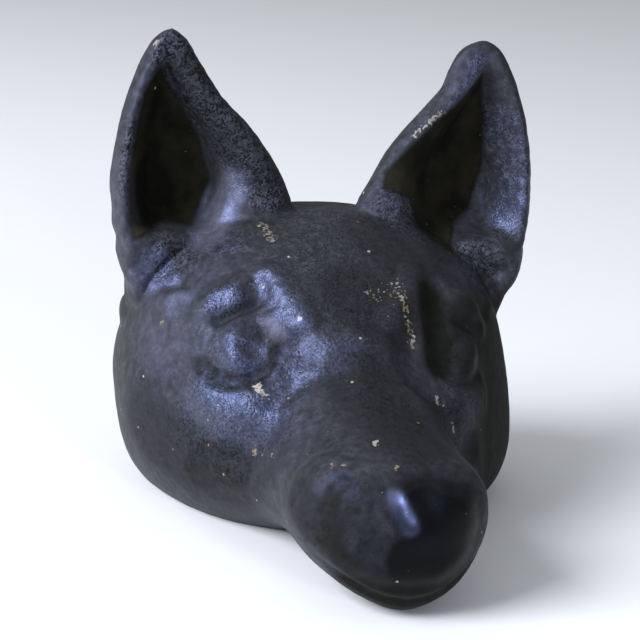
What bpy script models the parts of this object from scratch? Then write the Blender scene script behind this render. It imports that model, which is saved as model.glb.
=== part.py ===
"""Cast iron doorstop in the form of a prick-eared dog's head.

The head is a hollow iron casting that stands on the flat ground rim under its jaw and neck.
It is cast in two shells that meet behind the ears, and one long screw through the nape draws them
together. Units are metres, +Z is up, the dog looks along -Y, and the origin is on the
floor under the middle of the head.
"""

import math

import bmesh
import bpy
import numpy as np
from mathutils import Matrix, Vector

# Overall size of the head: every line of the pattern is drawn for a head of 150 units
HEAD_LONG = 0.1500        # from the front of the nose to the nape

# The casting
JOINT_GAP = 0.0003        # clearance between pieces that touch

# Mesh density of the sculpted surface
VOXEL = 0.0016            # cell of the remesh that unites the skull and the ears
SKIN_FACES = 11200        # triangles left on the outer surface of the head

UNIT = HEAD_LONG / 150    # one unit of the pattern's lines, a millimetre at this size
NOSE_Y = -75.5 * UNIT
NAPE_Y = 74.5 * UNIT
EAR_TIP_Z = 138.8 * UNIT
PARTING_Y = 52.0 * UNIT   # plane where the front and rear shells meet, just behind the ears


def smooth_curve(knots, at):
    """Cubic curve through (position, value) knots, flat beyond the ends."""
    xs = np.array([k[0] for k in knots], float)
    ys = np.array([k[1] for k in knots], float)
    at = np.clip(np.asarray(at, float), xs[0], xs[-1])
    steps = np.diff(ys) / np.diff(xs)
    slopes = np.concatenate([[steps[0]], (steps[1:] + steps[:-1]) / 2, [steps[-1]]])
    turning = np.concatenate([[False], steps[1:] * steps[:-1] <= 0, [False]])
    slopes[turning] = 0.0
    i = np.clip(np.searchsorted(xs, at, side="right") - 1, 0, len(xs) - 2)
    width = xs[i + 1] - xs[i]
    t = (at - xs[i]) / width
    return (
        ys[i] * (1 + 2 * t) * (1 - t) ** 2
        + slopes[i] * width * t * (1 - t) ** 2
        + ys[i + 1] * t**2 * (3 - 2 * t)
        + slopes[i + 1] * width * t**2 * (t - 1)
    )


# Lines of the skull in units, each a list of (y, value)
CROWN_LINE = [
    (-75.5, 15), (-75.2, 20), (-74.5, 25), (-73.2, 30), (-71.4, 35), (-69.2, 38.6), (-66.2, 41), (-62, 42.7),
    (-56, 44), (-44, 46), (-32, 51), (-20, 60.5), (-10, 69.5), (2, 77.5), (16, 83.5), (32, 87.5), (46, 86.5),
    (58, 79), (68, 65), (73, 49), (74.5, 41),
]
THROAT_LINE = [
    (-75.5, 15), (-75.3, 10.5), (-74.4, 7), (-72.2, 3.9), (-69, 1.6), (-64, 0.3), (-60, 0.2), (-50, 1),
    (-40, 2), (-30, 2.4), (-18, 1.8), (-7, -1.6), (0, -4.3), (10, -7.2), (24, -9.6), (35, -12), (44, -15),
    (60, -17),
    (68, -12), (73, 8), (74.5, 30),
]
SIDE_LINE = [
    (-75.5, 1), (-75.1, 7), (-74, 12), (-72.2, 16.8), (-70, 20.5), (-67, 23.4), (-63.5, 25.3), (-56, 26.4),
    (-46, 26.8), (-36, 28.8), (-26, 33), (-16, 39.5), (-7, 45), (2, 50.5), (14, 56.7), (26, 60.4), (36, 61.3),
    (46, 60), (57, 55), (66, 44), (72, 24), (74.5, 1),
]
WAIST_LINE = [
    (-75.5, 15), (-73, 19), (-70, 22.5), (-65, 24.5), (-44, 22), (-20, 23), (-7, 25), (0, 24.5), (10, 25),
    (24, 25), (44, 26), (60, 31), (74.5, 36),
]
UPPER_SQUARENESS = [
    (-75.5, 3.0), (-70, 3.0), (-60, 2.6), (-40, 2.2), (-20, 2.2), (-7, 2.5), (5, 2.7), (15, 2.7), (30, 2.45),
    (45, 2.3), (74.5, 2.2),
]
LOWER_SQUARENESS = [
    (-75.5, 1.85), (-68, 1.72), (-50, 1.75), (-20, 2.05), (-7, 2.6), (2, 2.7), (10, 2.7), (24, 2.75),
    (40, 2.85), (74.5, 2.3),
]


def superellipse(angle, half, up, down, waist, n_up, n_down):
    """Point of a section: an upper and a lower half superellipse that share their width at the waist."""
    c, s = math.cos(angle), math.sin(angle)
    n = n_up if s >= 0 else n_down
    reach = up if s >= 0 else down
    x = half * math.copysign(abs(c) ** (2 / n), c)
    z = waist + reach * math.copysign(abs(s) ** (2 / n), s)
    return x, z


def skull_section(y, count=72):
    """Closed ring of points round the head at one place along it."""
    y = y / UNIT
    top, bottom, half, waist, n_up, n_down = [
        float(smooth_curve(line, y))
        for line in (CROWN_LINE, THROAT_LINE, SIDE_LINE, WAIST_LINE, UPPER_SQUARENESS, LOWER_SQUARENESS)
    ]
    ring = []
    for i in range(count):
        x, z = superellipse(2 * math.pi * i / count, half, top - waist, waist - bottom, waist, n_up, n_down)
        ring.append(Vector((x, y, z)) * UNIT)
    return ring


def loft(name, rings):
    """Skins rings of equal count and closes both ends with a fan."""
    bm = bmesh.new()
    loops = [[bm.verts.new(p) for p in ring] for ring in rings]
    for near, far in zip(loops, loops[1:]):
        for i in range(len(near)):
            j = (i + 1) % len(near)
            bm.faces.new((near[i], near[j], far[j], far[i]))
    for ring in (loops[0], loops[-1]):
        middle = bm.verts.new(sum((v.co for v in ring), Vector()) / len(ring))
        for i in range(len(ring)):
            bm.faces.new((ring[i], ring[(i + 1) % len(ring)], middle))
    bmesh.ops.recalc_face_normals(bm, faces=bm.faces)
    mesh = bpy.data.meshes.new(name)
    bm.to_mesh(mesh)
    bm.free()
    obj = bpy.data.objects.new(name, mesh)
    return obj


def skull_form():
    """The head without its ears: a loft from the nose to the nape."""
    steps = 80
    share = [0.5 - 0.5 * math.cos(math.pi * i / steps) for i in range(steps + 1)]
    return loft("skull", [skull_section(NOSE_Y + (NAPE_Y - NOSE_Y) * s) for s in share])


# The ears in units, each line a list of (height, value)
EAR_MEDIAL = [
    (49, 16), (75, 11.5), (87.5, 10), (94.5, 13), (106.5, 20.5), (118.5, 30.5), (127, 36.5), (131, 39.2),
    (133.5, 40.8), (135.5, 42.3), (137, 43.9), (138, 45.6), (138.8, 47.6),
]
EAR_FOLD = [
    (49, 28), (75, 23), (87, 18.5), (96, 18.8), (102.5, 22), (109.5, 27.5), (116.6, 33), (121.6, 37.4),
    (127.3, 41.4), (131, 43.8), (135, 46), (138.8, 47.8),
]
EAR_CREASE_IN = [
    (49, 36), (79, 36), (84.7, 34.7), (92, 32.7), (98, 33.1), (105.4, 35.6), (112.7, 40.1), (122.7, 45.6),
    (127, 47.6), (131, 48), (138.8, 48),
]
EAR_CREASE_OUT = [
    (49, 52), (80, 52), (85, 52.8), (95.6, 53.1), (104.6, 52.4), (111, 51.6), (117, 50.9), (124, 49.8),
    (130, 48.8), (138.8, 48.3),
]
EAR_RIM = [
    (49, 50), (62, 54), (74, 57.5), (82.6, 59.6), (92.3, 60.7), (104, 60.1), (113.7, 58.7), (121.6, 56.2),
    (125.5, 54.7), (128, 53.4), (132, 51.5), (136, 49.8), (138.8, 48.4),
]
EAR_LATERAL = [
    (49, 54), (62, 58.3), (68, 60), (74.6, 61.6), (80, 63), (87, 64.2), (93, 64.9), (98, 64.7), (106, 63.8),
    (114, 62.3), (118.7, 61), (123.5, 59.3), (127.5, 57.9), (131, 56.2), (133.5, 54.9), (135.5, 53.5),
    (137, 52), (138, 50.6), (138.8, 48.6),
]
EAR_FRONT = [(49, 22), (75, 24), (100, 27.5), (137, 34)]
EAR_POCKET = [
    (49, 2), (76, 2), (79.5, 3.5), (83, 10.5), (86.5, 14.5), (92, 16), (98, 15.5), (105, 13.5), (113, 11),
    (122, 8), (127, 5), (131, 1.5), (138.8, 0.5),
]
EAR_BODY = [(49, 12), (80, 15), (100, 12.5), (120, 10), (131, 8), (136, 6), (138.8, 4)]
# How each ear's inner edge departs from the common line: the two were carved by hand
EAR_MEDIAL_OWN = {
    1: [
        (49, 0), (95, 0.4), (104, -0.3), (112, -0.3), (119, 0.2), (124, 0.9), (128, -0.3), (132, -1.2),
        (136, -1.7), (138.8, -1.2),
    ],
    -1: [
        (49, 0), (90, -0.3), (97, -1.0), (106, -0.9), (112, -0.7), (117, 0.2), (121, 0.8), (127, 0.8),
        (132, 0.6), (138.8, 0.5),
    ],
}
EAR_LATERAL_OWN = {
    1: [(49, 0), (62, 0.8), (72, 1.2), (84, 0.6), (92, 0), (112, 0.3), (126, 0.4), (132, 0.2), (138.8, 0)],
    -1: [
        (49, 0), (66, -0.8), (75, -1.1), (81, -0.2), (86, -0.8), (94, -0.9), (105, -1.2), (125, -1.3),
        (138.8, -1.3),
    ],
}


def between(p0, p1, p2, p3, t):
    """Place on a smooth curve through four points, a share t of the way from the second to the third."""
    start = 2 * p1 + (p2 - p0) * t
    bend = (2 * p0 - 5 * p1 + 4 * p2 - p3) * t**2 + (3 * p1 - p0 - 3 * p2 + p3) * t**3
    return 0.5 * (start + bend)


def ear_section(z, side):
    """Ring of one level of the ear: outer skin, rolled rims and the walls of the pocket between them."""
    z = z / UNIT
    medial, fold, crease_in, crease_out, rim, lateral, front, pocket, body = [
        float(smooth_curve(line, z))
        for line in (
            EAR_MEDIAL, EAR_FOLD, EAR_CREASE_IN, EAR_CREASE_OUT, EAR_RIM, EAR_LATERAL, EAR_FRONT, EAR_POCKET,
            EAR_BODY,
        )
    ]
    own = float(smooth_curve(EAR_MEDIAL_OWN[side], z))
    medial += own
    fold += own * 0.8
    own = float(smooth_curve(EAR_LATERAL_OWN[side], z))
    lateral += own
    rim += own * 0.8
    floor = (crease_in + crease_out) / 2
    wall = crease_in - fold
    corners = [
        (medial, front + body * 0.42),
        ((medial + fold) / 2, front + body * 0.08),
        (fold, front),
        (fold + wall * 0.38, front + pocket * 0.10),
        (fold + wall * 0.76, front + pocket * 0.36),
        (crease_in, front + pocket * 0.84),
        (crease_in * 0.75 + floor * 0.25, front + pocket * 0.99),
        (floor, front + pocket),
        (crease_out * 0.8 + floor * 0.2, front + pocket * 0.97),
        (crease_out, front + pocket * 0.86),
        ((rim + crease_out) / 2, front + pocket * 0.42),
        (rim, front + pocket * 0.03),
        ((rim + lateral) / 2, front + 0.03 * body),
        (lateral, front + body * 0.42),
        (lateral * 0.9 + floor * 0.1, front + body * 0.95),
        (floor, front + pocket * 0.55 + body * 0.95),
        (medial * 0.85 + floor * 0.15, front + body * 0.95),
    ]
    ring = []
    count = len(corners)
    for i in range(count):
        p0, p1, p2, p3 = [Vector(corners[(i + k - 1) % count]) for k in range(4)]
        for t in (0.0, 0.25, 0.5, 0.75):
            x, y = between(p0, p1, p2, p3, t)
            ring.append(Vector((side * x, y, z)) * UNIT)
    return ring


def ear_form(side):
    steps = 48
    foot = EAR_MEDIAL[0][0] * UNIT
    rings = [ear_section(foot + (EAR_TIP_Z - foot) * i / steps, side) for i in range(steps + 1)]
    return loft("ear", rings)


def evaluated(obj):
    """A plain mesh of the object with its modifiers applied."""
    graph = bpy.context.evaluated_depsgraph_get()
    mesh = bpy.data.meshes.new_from_object(obj.evaluated_get(graph))
    obj.modifiers.clear()
    obj.data = mesh
    return obj


def unite(objs, name, voxel):
    """One closed surface round overlapping solids."""
    bm = bmesh.new()
    for obj in objs:
        bm.from_mesh(obj.data)
    mesh = bpy.data.meshes.new(name)
    bm.to_mesh(mesh)
    bm.free()
    for obj in objs:
        bpy.data.objects.remove(obj)
    one = bpy.data.objects.new(name, mesh)
    bpy.context.scene.collection.objects.link(one)
    remesh = one.modifiers.new("unite", "REMESH")
    remesh.mode = "VOXEL"
    remesh.voxel_size = voxel
    return evaluated(one)


def relax(obj, rounds, factor=0.5):
    """Evens the surface out: each round pulls points together, then pushes most of it back."""
    mesh = obj.data
    count = len(mesh.vertices)
    points = np.empty(count * 3)
    mesh.vertices.foreach_get("co", points)
    points = points.reshape(-1, 3)
    edges = np.empty(len(mesh.edges) * 2, int)
    mesh.edges.foreach_get("vertices", edges)
    edges = edges.reshape(-1, 2)
    degree = np.bincount(edges.ravel(), minlength=count)[:, None]
    for i in range(rounds):
        total = np.zeros_like(points)
        np.add.at(total, edges[:, 0], points[edges[:, 1]])
        np.add.at(total, edges[:, 1], points[edges[:, 0]])
        points += (factor if i % 2 == 0 else -factor * 1.04) * (total / degree - points)
    mesh.vertices.foreach_set("co", points.ravel())
    mesh.update()


def path_distance(points, path):
    """Distance of each point to a polyline."""
    best = np.full(len(points), np.inf)
    if len(path) == 1:
        return np.linalg.norm(points - path[0], axis=1)
    for a, b in zip(path, path[1:]):
        d = b - a
        t = np.clip((points - a) @ d / max(d @ d, 1e-12), 0, 1)
        best = np.minimum(best, np.linalg.norm(points - (a + t[:, None] * d), axis=1))
    return best


# Hand modelling of the pattern, on the dog's left side and mirrored: (places, reach, height)
STROKES = [
    # valley between the root of the muzzle and the eye, and on down to the cheek
    ([(16, -20, 57), (21.5, -26, 49), (27, -30, 40), (34, -26, 30)], 9.0, -3.2),
    # channel between the forehead and the eye
    ([(26, -3, 71), (25, -8, 65), (25, -13, 58), (26, -17, 51)], 6.5, -2.0),
    # bulge of the eye
    ([(33, -12, 57)], 10.0, 1.6),
    # brow, pit at its outer end
    ([(43, -1, 61), (39.5, -0.4, 65.5), (36, -0.4, 69), (31.5, -1, 72)], 7.0, 1.7),
    ([(46, 8, 63)], 5.0, -1.4),
    # edge of the raised middle of the forehead
    ([(21, 1, 74.7), (17, -8, 70.5), (13, -15, 66)], 6.0, 1.6),
    # the forehead ends in a steep step, with a hollow at its foot round the root of the muzzle
    ([(19.5, -20, 51), (14.5, -18.5, 55.5), (8.5, -19.5, 59), (0, -20, 61)], 5.5, 1.2),
    ([(24, -26.5, 45), (16, -27, 50.5), (8, -28, 55), (0, -28, 56.5)], 4.5, -1.1),
    # fold below the eye, cheekbone
    ([(38.4, -11.1, 47), (33, -16, 46.5), (27.4, -17.9, 47.9)], 3.2, -1.1),
    ([(25, -27, 44), (32, -21, 41), (41, -12, 42)], 10.0, 1.8),
    # jaw muscle and the groove in front of it
    ([(56, 12, 32)], 22.0, 1.0),
    ([(45, -4, 46), (42, -11, 35), (41, -12, 24)], 8.0, -0.6),
    # knob at the foot of the ear pocket, the rim that curls in below it, the groove between
    ([(47, 25, 76), (54, 26, 76)], 8.0, 2.4),
    ([(61, 31, 74), (57, 22, 67), (52, 14, 64.5), (46, 9, 64.5)], 5.5, 1.6),
    ([(56, 24, 71), (51, 17, 68), (45, 14, 67.5)], 3.2, -1.0),
    # ridge down the front of the ear's inner fold
    ([(25, 26, 98), (23.5, 25, 87), (27, 16, 80)], 7.0, 1.0),
    # mouth: the lips closed over the chin, swept back along the muzzle
    (
        [(0, -74, 5.6), (8, -73.5, 6.6), (14, -71, 10.6), (19, -67, 16), (22.5, -60, 20), (24, -50, 20.5)],
        2.8, -1.2,
    ),
    ([(24, -50, 20.5), (26, -40, 21), (29, -32, 21)], 4.0, -0.5),
    ([(9, -72, 14), (16, -69, 17), (21, -60, 24), (23, -50, 26)], 6.5, 0.7),
    # corner of the cheek behind the notch under the ear
    ([(58, 38, 57)], 9.0, 3.0),
    # soft ridge of the muzzle
    ([(0, -22, 59), (0, -45, 47), (0, -62, 43)], 8.0, 0.8),
]
# The keel of the nose runs a little askew, so it isn't mirrored
KEEL = [([(-3, -72, 37), (0, -74.2, 31), (2.6, -75.7, 25.5)], 7.0, 0.7)]
# Where the two eyes differ, by the side of the head: 1 is the dog's left
OWN_STROKES = {
    1: [
        # eyeball, brow, crease between them, channel beside the forehead
        ([(37.5, -10.5, 55.5), (36, -13.5, 52)], 7.0, 2.4),
        ([(39, -0.5, 66)], 7.5, 1.5),
        ([(31, -5, 62.5), (36, -4.8, 61), (41, -2, 60)], 3.2, -1.4),
        ([(27.5, -2, 69), (27, -9, 61), (26.5, -15, 52)], 7.0, -2.0),
    ],
    -1: [
        # upper lid and eyeball, the slit between them, crease under the brow
        ([(31, -12.4, 59.7)], 8.0, 1.6),
        ([(30.3, -16, 54)], 7.0, 1.8),
        ([(36, -10, 57), (33, -13, 56.8), (29, -14, 56.7)], 2.2, -0.9),
        ([(35.5, -3.6, 61.6), (34, -4.2, 62.6), (30, -5.1, 65.4), (25.2, -4.2, 67.3)], 2.9, -2.2),
        # folds at the inner corner of the eye, and the lump above them
        ([(24.3, -11, 61), (23.4, -13.5, 58.8)], 2.8, -1.3),
        ([(20.8, -16.3, 57.4), (22.4, -17.5, 54), (24.6, -18.2, 51.2), (27.5, -18.5, 49.4)], 3.4, -2.1),
        ([(22.1, -9.5, 63.3)], 4.5, 0.8),
    ],
}


def resampled(path, per_piece=5):
    """A smooth curve through the places of a stroke."""
    path = [np.array(p, float) for p in path]
    if len(path) < 3:
        return path
    ends = [2 * path[0] - path[1]] + path + [2 * path[-1] - path[-2]]
    out = []
    for i in range(1, len(ends) - 2):
        p0, p1, p2, p3 = ends[i - 1:i + 3]
        out += [between(p0, p1, p2, p3, k / per_piece) for k in range(per_piece)]
    return out + [path[-1]]


def vertex_arrays(mesh):
    count = len(mesh.vertices)
    points = np.empty(count * 3)
    mesh.vertices.foreach_get("co", points)
    normals = np.empty(count * 3)
    mesh.vertex_normals.foreach_get("vector", normals)
    return points.reshape(-1, 3), normals.reshape(-1, 3)


def ramp(value, low, high):
    t = np.clip((value - low) / (high - low), 0, 1)
    return t * t * (3 - 2 * t)


def stroke_rise(points, strokes):
    """How far a set of strokes raises each point."""
    rise = np.zeros(len(points))
    for path, reach, height in strokes:
        t = np.clip(path_distance(points, resampled(path)) / reach, 0, 1)
        rise += (1 - t**2) ** 2 * height
    return rise * UNIT


def sculpt(obj):
    """Raises or sinks the surface along its normals round short strokes."""
    mesh = obj.data
    points, normals = vertex_arrays(mesh)
    folded = points / UNIT
    rise = stroke_rise(folded, KEEL)
    side = np.sign(folded[:, 0])
    folded[:, 0] = abs(folded[:, 0])
    rise += stroke_rise(folded, STROKES)
    for which, strokes in OWN_STROKES.items():
        rise += np.where(side == which, stroke_rise(folded, strokes), 0)
    points += normals * rise[:, None]
    mesh.vertices.foreach_set("co", points.ravel())
    mesh.update()


# The nose pad: its outline on the end of the muzzle, and how far it stands out
PAD_HALF, PAD_MIDDLE, PAD_UP, PAD_DOWN, PAD_RISE = 19.5, 27.0, 11.5, 15.5, 1.0


def pad_size(points):
    """1 on the outline of the nose pad, less inside it."""
    x, y, z = (points / UNIT).T
    up = z > PAD_MIDDLE
    tall = np.where(up, PAD_UP, PAD_DOWN)
    power = np.where(up, 3.6, 2.3)
    return (abs(x / PAD_HALF) ** power + abs((z - PAD_MIDDLE) / tall) ** power) ** (1 / power)


def nose_pad(obj):
    mesh = obj.data
    points, normals = vertex_arrays(mesh)
    size = pad_size(points)
    rise = PAD_RISE * (1 - ramp(size, 0.84, 1.08)) - 0.25 * (1 - ramp(abs(size - 1.08), 0.0, 0.12))
    points[:, 1] -= rise * UNIT * (1 - ramp(points[:, 1] / UNIT, -66, -62))
    mesh.vertices.foreach_set("co", points.ravel())
    mesh.update()


def lean(obj):
    """The hand-carved pattern is a little off true: its muzzle and jaw turn to the dog's left."""
    mesh = obj.data
    points, normals = vertex_arrays(mesh)
    x, y, z = (points / UNIT).T
    muzzle = 2.2 * (1 - ramp(y, -75, -25)) + 2.4 * (1 - ramp(y, -66, -50)) * (1 - ramp(z, 4, 22))
    jaw = (3.9 * (1 - ramp(z, 0, 42)) - 0.8 * ramp(z, 20, 50) * (1 - ramp(z, 60, 80))) * ramp(y, -75, -20)
    points[:, 0] += (muzzle + jaw) * UNIT
    mesh.vertices.foreach_set("co", points.ravel())
    mesh.update()


# The hollow and the way the two shells are held together
CORE_START_Y = -0.034     # foremost point of the hollow: the muzzle is cast solid
CORE_BACK_WALL = 0.0070   # wall behind the hollow, at the nape
CORE_WALL = [(-34, 10), (-20, 10.5), (0, 10), (25, 8), (67.5, 6)]
CORE_FLOOR = [(-34, 9), (-10, 8), (0, 5.5), (10, 3), (24, -1), (67.5, -2)]
SCREW_Z = 0.0500          # height of the tie screw
SCREW_RADIUS = 0.0028
SCREW_HEAD_RADIUS = 0.0056
SCREW_HEAD_TALL = 0.0034
SPOTFACE_DEEP = 0.0055    # depth of the recess for the screw head, from the nape
THREAD_LONG = 0.0190      # length of screw in the front shell
DRILL_PAST = 0.0018       # depth of the blind hole past the screw's end
BOSS_RADIUS = 0.0075
BOSS_LONG = 0.0250        # length of the boss in front of the joint
WEB_THICK = 0.0055
WEB_SUNK = 0.0050         # how far below the crown the web ends, inside the wall
SLOT_WIDE = 0.0014
SLOT_DEEP = 0.0017
SCREW_POINT = 0.0009      # chamfer at the end of the thread

FAR = 2 * HEAD_LONG       # reach of the blocks that cut the whole head


def core_form():
    """The sand core that leaves the head hollow: the skull less its wall, open through the ground rim."""
    rings = []
    steps = 26
    core_end = NAPE_Y - CORE_BACK_WALL
    for i in range(steps + 1):
        share = 0.5 - 0.5 * math.cos(math.pi * i / steps)
        y = (CORE_START_Y + (core_end - CORE_START_Y) * share) / UNIT
        wall = float(smooth_curve(CORE_WALL, y))
        end = min((y - CORE_START_Y / UNIT) / 9.0, (core_end / UNIT - y) / 7.0, 1.0)
        swell = math.sqrt(max(1 - (1 - end) ** 2, 0.0025))
        half = (float(smooth_curve(SIDE_LINE, y)) - wall) * swell
        waist = float(smooth_curve(WAIST_LINE, y)) + 3
        top = waist + (float(smooth_curve(CROWN_LINE, y)) - wall - waist) * swell
        above_throat = float(smooth_curve(CORE_FLOOR, y))
        floor = waist + (float(smooth_curve(THROAT_LINE, y)) + above_throat - waist) * swell
        if y > 24:
            floor = min(floor, -6)
        ring = []
        for k in range(32):
            turn = 2 * math.pi * k / 32
            x, z = superellipse(turn, max(half, 1), top - waist, waist - floor, waist, 2.2, 2.4)
            ring.append(Vector((x, y, z)) * UNIT)
        rings.append(ring)
    return loft("core", rings)


def box(name, low, high):
    bm = bmesh.new()
    bmesh.ops.create_cube(bm, size=1.0)
    low, high = Vector(low), Vector(high)
    for v in bm.verts:
        v.co = Vector([low[i] + (v.co[i] + 0.5) * (high[i] - low[i]) for i in range(3)])
    mesh = bpy.data.meshes.new(name)
    bm.to_mesh(mesh)
    bm.free()
    return bpy.data.objects.new(name, mesh)


def rod(name, radius, y0, y1, z, sides=32):
    """A cylinder along Y."""
    bm = bmesh.new()
    bmesh.ops.create_cone(bm, cap_ends=True, segments=sides, radius1=radius, radius2=radius, depth=y1 - y0)
    turn = Matrix.Translation((0, (y0 + y1) / 2, z)) @ Matrix.Rotation(math.pi / 2, 4, "X")
    bmesh.ops.transform(bm, matrix=turn, verts=bm.verts)
    mesh = bpy.data.meshes.new(name)
    bm.to_mesh(mesh)
    bm.free()
    return bpy.data.objects.new(name, mesh)


def turned(name, profile, z, sides=32):
    """Turns a profile of (radius, y) about an axis along Y at height z."""
    bm = bmesh.new()
    verts = [bm.verts.new((r, y, 0)) for r, y in profile]
    edges = [bm.edges.new(pair) for pair in zip(verts, verts[1:])]
    bmesh.ops.spin(bm, geom=verts + edges, axis=(0, 1, 0), cent=(0, 0, 0), angle=2 * math.pi, steps=sides)
    bmesh.ops.remove_doubles(bm, verts=bm.verts, dist=1e-6)
    bmesh.ops.recalc_face_normals(bm, faces=bm.faces)
    bmesh.ops.translate(bm, vec=(0, 0, z), verts=bm.verts)
    mesh = bpy.data.meshes.new(name)
    bm.to_mesh(mesh)
    bm.free()
    return bpy.data.objects.new(name, mesh)


def add_cutter(obj, cutters):
    cutters.objects.link(obj)
    obj.hide_render = True
    obj.display_type = "WIRE"
    return obj


def boolean(obj, tool, operation, cutters, solver="EXACT"):
    """Applies one Boolean and keeps the tool as a hidden construction object."""
    add_cutter(tool, cutters)
    step = obj.modifiers.new(operation.lower(), "BOOLEAN")
    step.operation = operation
    step.solver = solver
    step.object = tool
    bpy.context.view_layer.update()
    return evaluated(obj)


def copied(obj, name):
    new = bpy.data.objects.new(name, obj.data.copy())
    bpy.context.scene.collection.objects.link(new)
    return new


def thin_out(obj, faces):
    """Reduces the sculpted surface to the wanted number of triangles, dense where it is most curved."""
    mesh = obj.data
    mesh.calc_loop_triangles()
    step = obj.modifiers.new("reduce", "DECIMATE")
    step.ratio = faces / len(mesh.loop_triangles)
    step.use_symmetry = False
    return evaluated(obj)


def painted(obj, name, colour, roughness, metallic):
    material = bpy.data.materials.new(name)
    material.use_nodes = True
    shader = material.node_tree.nodes["Principled BSDF"]
    shader.inputs["Base Color"].default_value = colour
    shader.inputs["Roughness"].default_value = roughness
    shader.inputs["Metallic"].default_value = metallic
    obj.data.materials.clear()
    obj.data.materials.append(material)


def centre(obj):
    """Moves the head so that its outline on the floor has the origin in the middle."""
    mesh = obj.data
    points, normals = vertex_arrays(mesh)
    for axis in (0, 1):
        points[:, axis] -= (points[:, axis].min() + points[:, axis].max()) / 2
    mesh.vertices.foreach_set("co", points.ravel())
    mesh.update()


def head_form():
    """The whole outside of the head as one closed surface."""
    head = unite([skull_form(), ear_form(1), ear_form(-1)], "head", VOXEL)
    relax(head, 12)
    sculpt(head)
    nose_pad(head)
    lean(head)
    relax(head, 2)
    centre(head)
    return head


def main():
    for obj in list(bpy.data.objects):
        bpy.data.objects.remove(obj)
    cutters = bpy.data.collections.new("cutters")
    bpy.context.scene.collection.children.link(cutters)

    front = head_form()
    front.name = "front_casting"
    thin_out(front, SKIN_FACES)
    boolean(front, core_form(), "DIFFERENCE", cutters)
    boss_start = PARTING_Y - BOSS_LONG
    spotface_y = NAPE_Y - SPOTFACE_DEEP
    screw_end = PARTING_Y - THREAD_LONG
    web_end = PARTING_Y + JOINT_GAP
    web_top = float(smooth_curve(CROWN_LINE, web_end / UNIT)) * UNIT - WEB_SUNK
    web = box("web", (-WEB_THICK / 2, boss_start, SCREW_Z), (WEB_THICK / 2, web_end, web_top))
    boolean(front, web, "UNION", cutters)
    boss = rod("boss", BOSS_RADIUS, boss_start, NAPE_Y - CORE_BACK_WALL / 2, SCREW_Z)
    boolean(front, boss, "UNION", cutters)
    boolean(front, box("floor", (-FAR, -FAR, -FAR), (FAR, FAR, 0)), "DIFFERENCE", cutters)
    drilled_to = screw_end - DRILL_PAST
    hole = rod("screw_hole", SCREW_RADIUS + JOINT_GAP, drilled_to, NAPE_Y + SPOTFACE_DEEP, SCREW_Z)
    boolean(front, hole, "DIFFERENCE", cutters)
    recess = SCREW_HEAD_RADIUS + 3 * JOINT_GAP
    spotface = rod("spotface", recess, spotface_y, NAPE_Y + 2 * SPOTFACE_DEEP, SCREW_Z)
    boolean(front, spotface, "DIFFERENCE", cutters)

    rear = copied(front, "rear_casting")
    half_gap = JOINT_GAP / 2
    front_half = box("front_half", (-FAR, -FAR, -FAR), (FAR, PARTING_Y - half_gap, FAR))
    rear_half = box("rear_half", (-FAR, PARTING_Y + half_gap, -FAR), (FAR, FAR, FAR))
    boolean(front, front_half, "INTERSECT", cutters, "MANIFOLD")
    boolean(rear, rear_half, "INTERSECT", cutters, "MANIFOLD")

    seat = spotface_y + JOINT_GAP
    head_top = seat + SCREW_HEAD_TALL
    r, head_r = SCREW_RADIUS, SCREW_HEAD_RADIUS
    profile = [
        (0, screw_end), (r - SCREW_POINT, screw_end), (r, screw_end + SCREW_POINT), (r, seat), (head_r, seat),
        (head_r, seat + 0.35 * SCREW_HEAD_TALL), (0.86 * head_r, seat + 0.68 * SCREW_HEAD_TALL),
        (0.5 * head_r, seat + 0.93 * SCREW_HEAD_TALL), (0, head_top),
    ]
    screw = turned("tie_screw", profile, SCREW_Z)
    bpy.context.scene.collection.objects.link(screw)
    low = (-2 * head_r, head_top - SLOT_DEEP, SCREW_Z - SLOT_WIDE / 2)
    high = (2 * head_r, head_top + SLOT_DEEP, SCREW_Z + SLOT_WIDE / 2)
    slot = box("screw_slot", low, high)
    boolean(screw, slot, "DIFFERENCE", cutters)

    painted(screw, "steel_screw", (0.30, 0.29, 0.28, 1), 0.38, 1.0)
    painted(front, "black_painted_iron", (0.030, 0.031, 0.038, 1), 0.42, 0.0)
    painted(rear, "black_painted_iron_rear", (0.028, 0.029, 0.035, 1), 0.45, 0.0)


main()
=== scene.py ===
"""Cast iron dog's-head doorstop: two castings and a screw, with their worn black varnish, camera and light.

Tables of shape are in millimetres, with x to the dog's left, y to the rear and z up; the rest is in metres.
"""

import math

import bmesh
import bpy
import numpy as np
from mathutils import Matrix, Vector, noise


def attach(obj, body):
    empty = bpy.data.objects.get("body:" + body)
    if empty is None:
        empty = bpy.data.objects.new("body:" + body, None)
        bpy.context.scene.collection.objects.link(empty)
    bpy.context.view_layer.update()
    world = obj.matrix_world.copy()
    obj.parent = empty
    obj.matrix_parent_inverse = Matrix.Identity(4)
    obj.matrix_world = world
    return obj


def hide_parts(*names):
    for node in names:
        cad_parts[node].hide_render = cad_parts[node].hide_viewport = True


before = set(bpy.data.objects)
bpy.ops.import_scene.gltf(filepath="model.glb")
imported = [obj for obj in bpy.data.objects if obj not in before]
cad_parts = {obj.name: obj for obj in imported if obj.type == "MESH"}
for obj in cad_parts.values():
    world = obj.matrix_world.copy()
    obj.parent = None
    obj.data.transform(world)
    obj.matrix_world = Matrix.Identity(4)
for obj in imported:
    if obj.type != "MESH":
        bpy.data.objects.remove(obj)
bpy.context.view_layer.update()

MM = 0.001
NOSE_Y = -0.0755  # front of the nose
NAPE_Y = 0.0745  # rearmost point of the nape
EAR_TIP_Z = 0.1388
PARTING_Y = 0.052  # joint between the two shells
JOINT_GAP = 0.0003  # gap between pieces that meet
SKIN_CELL = 0.00105  # cell of the remesh, fine enough for the lids, lips and rims
FAR = 0.3  # reach of the blocks that cut the whole head
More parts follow.
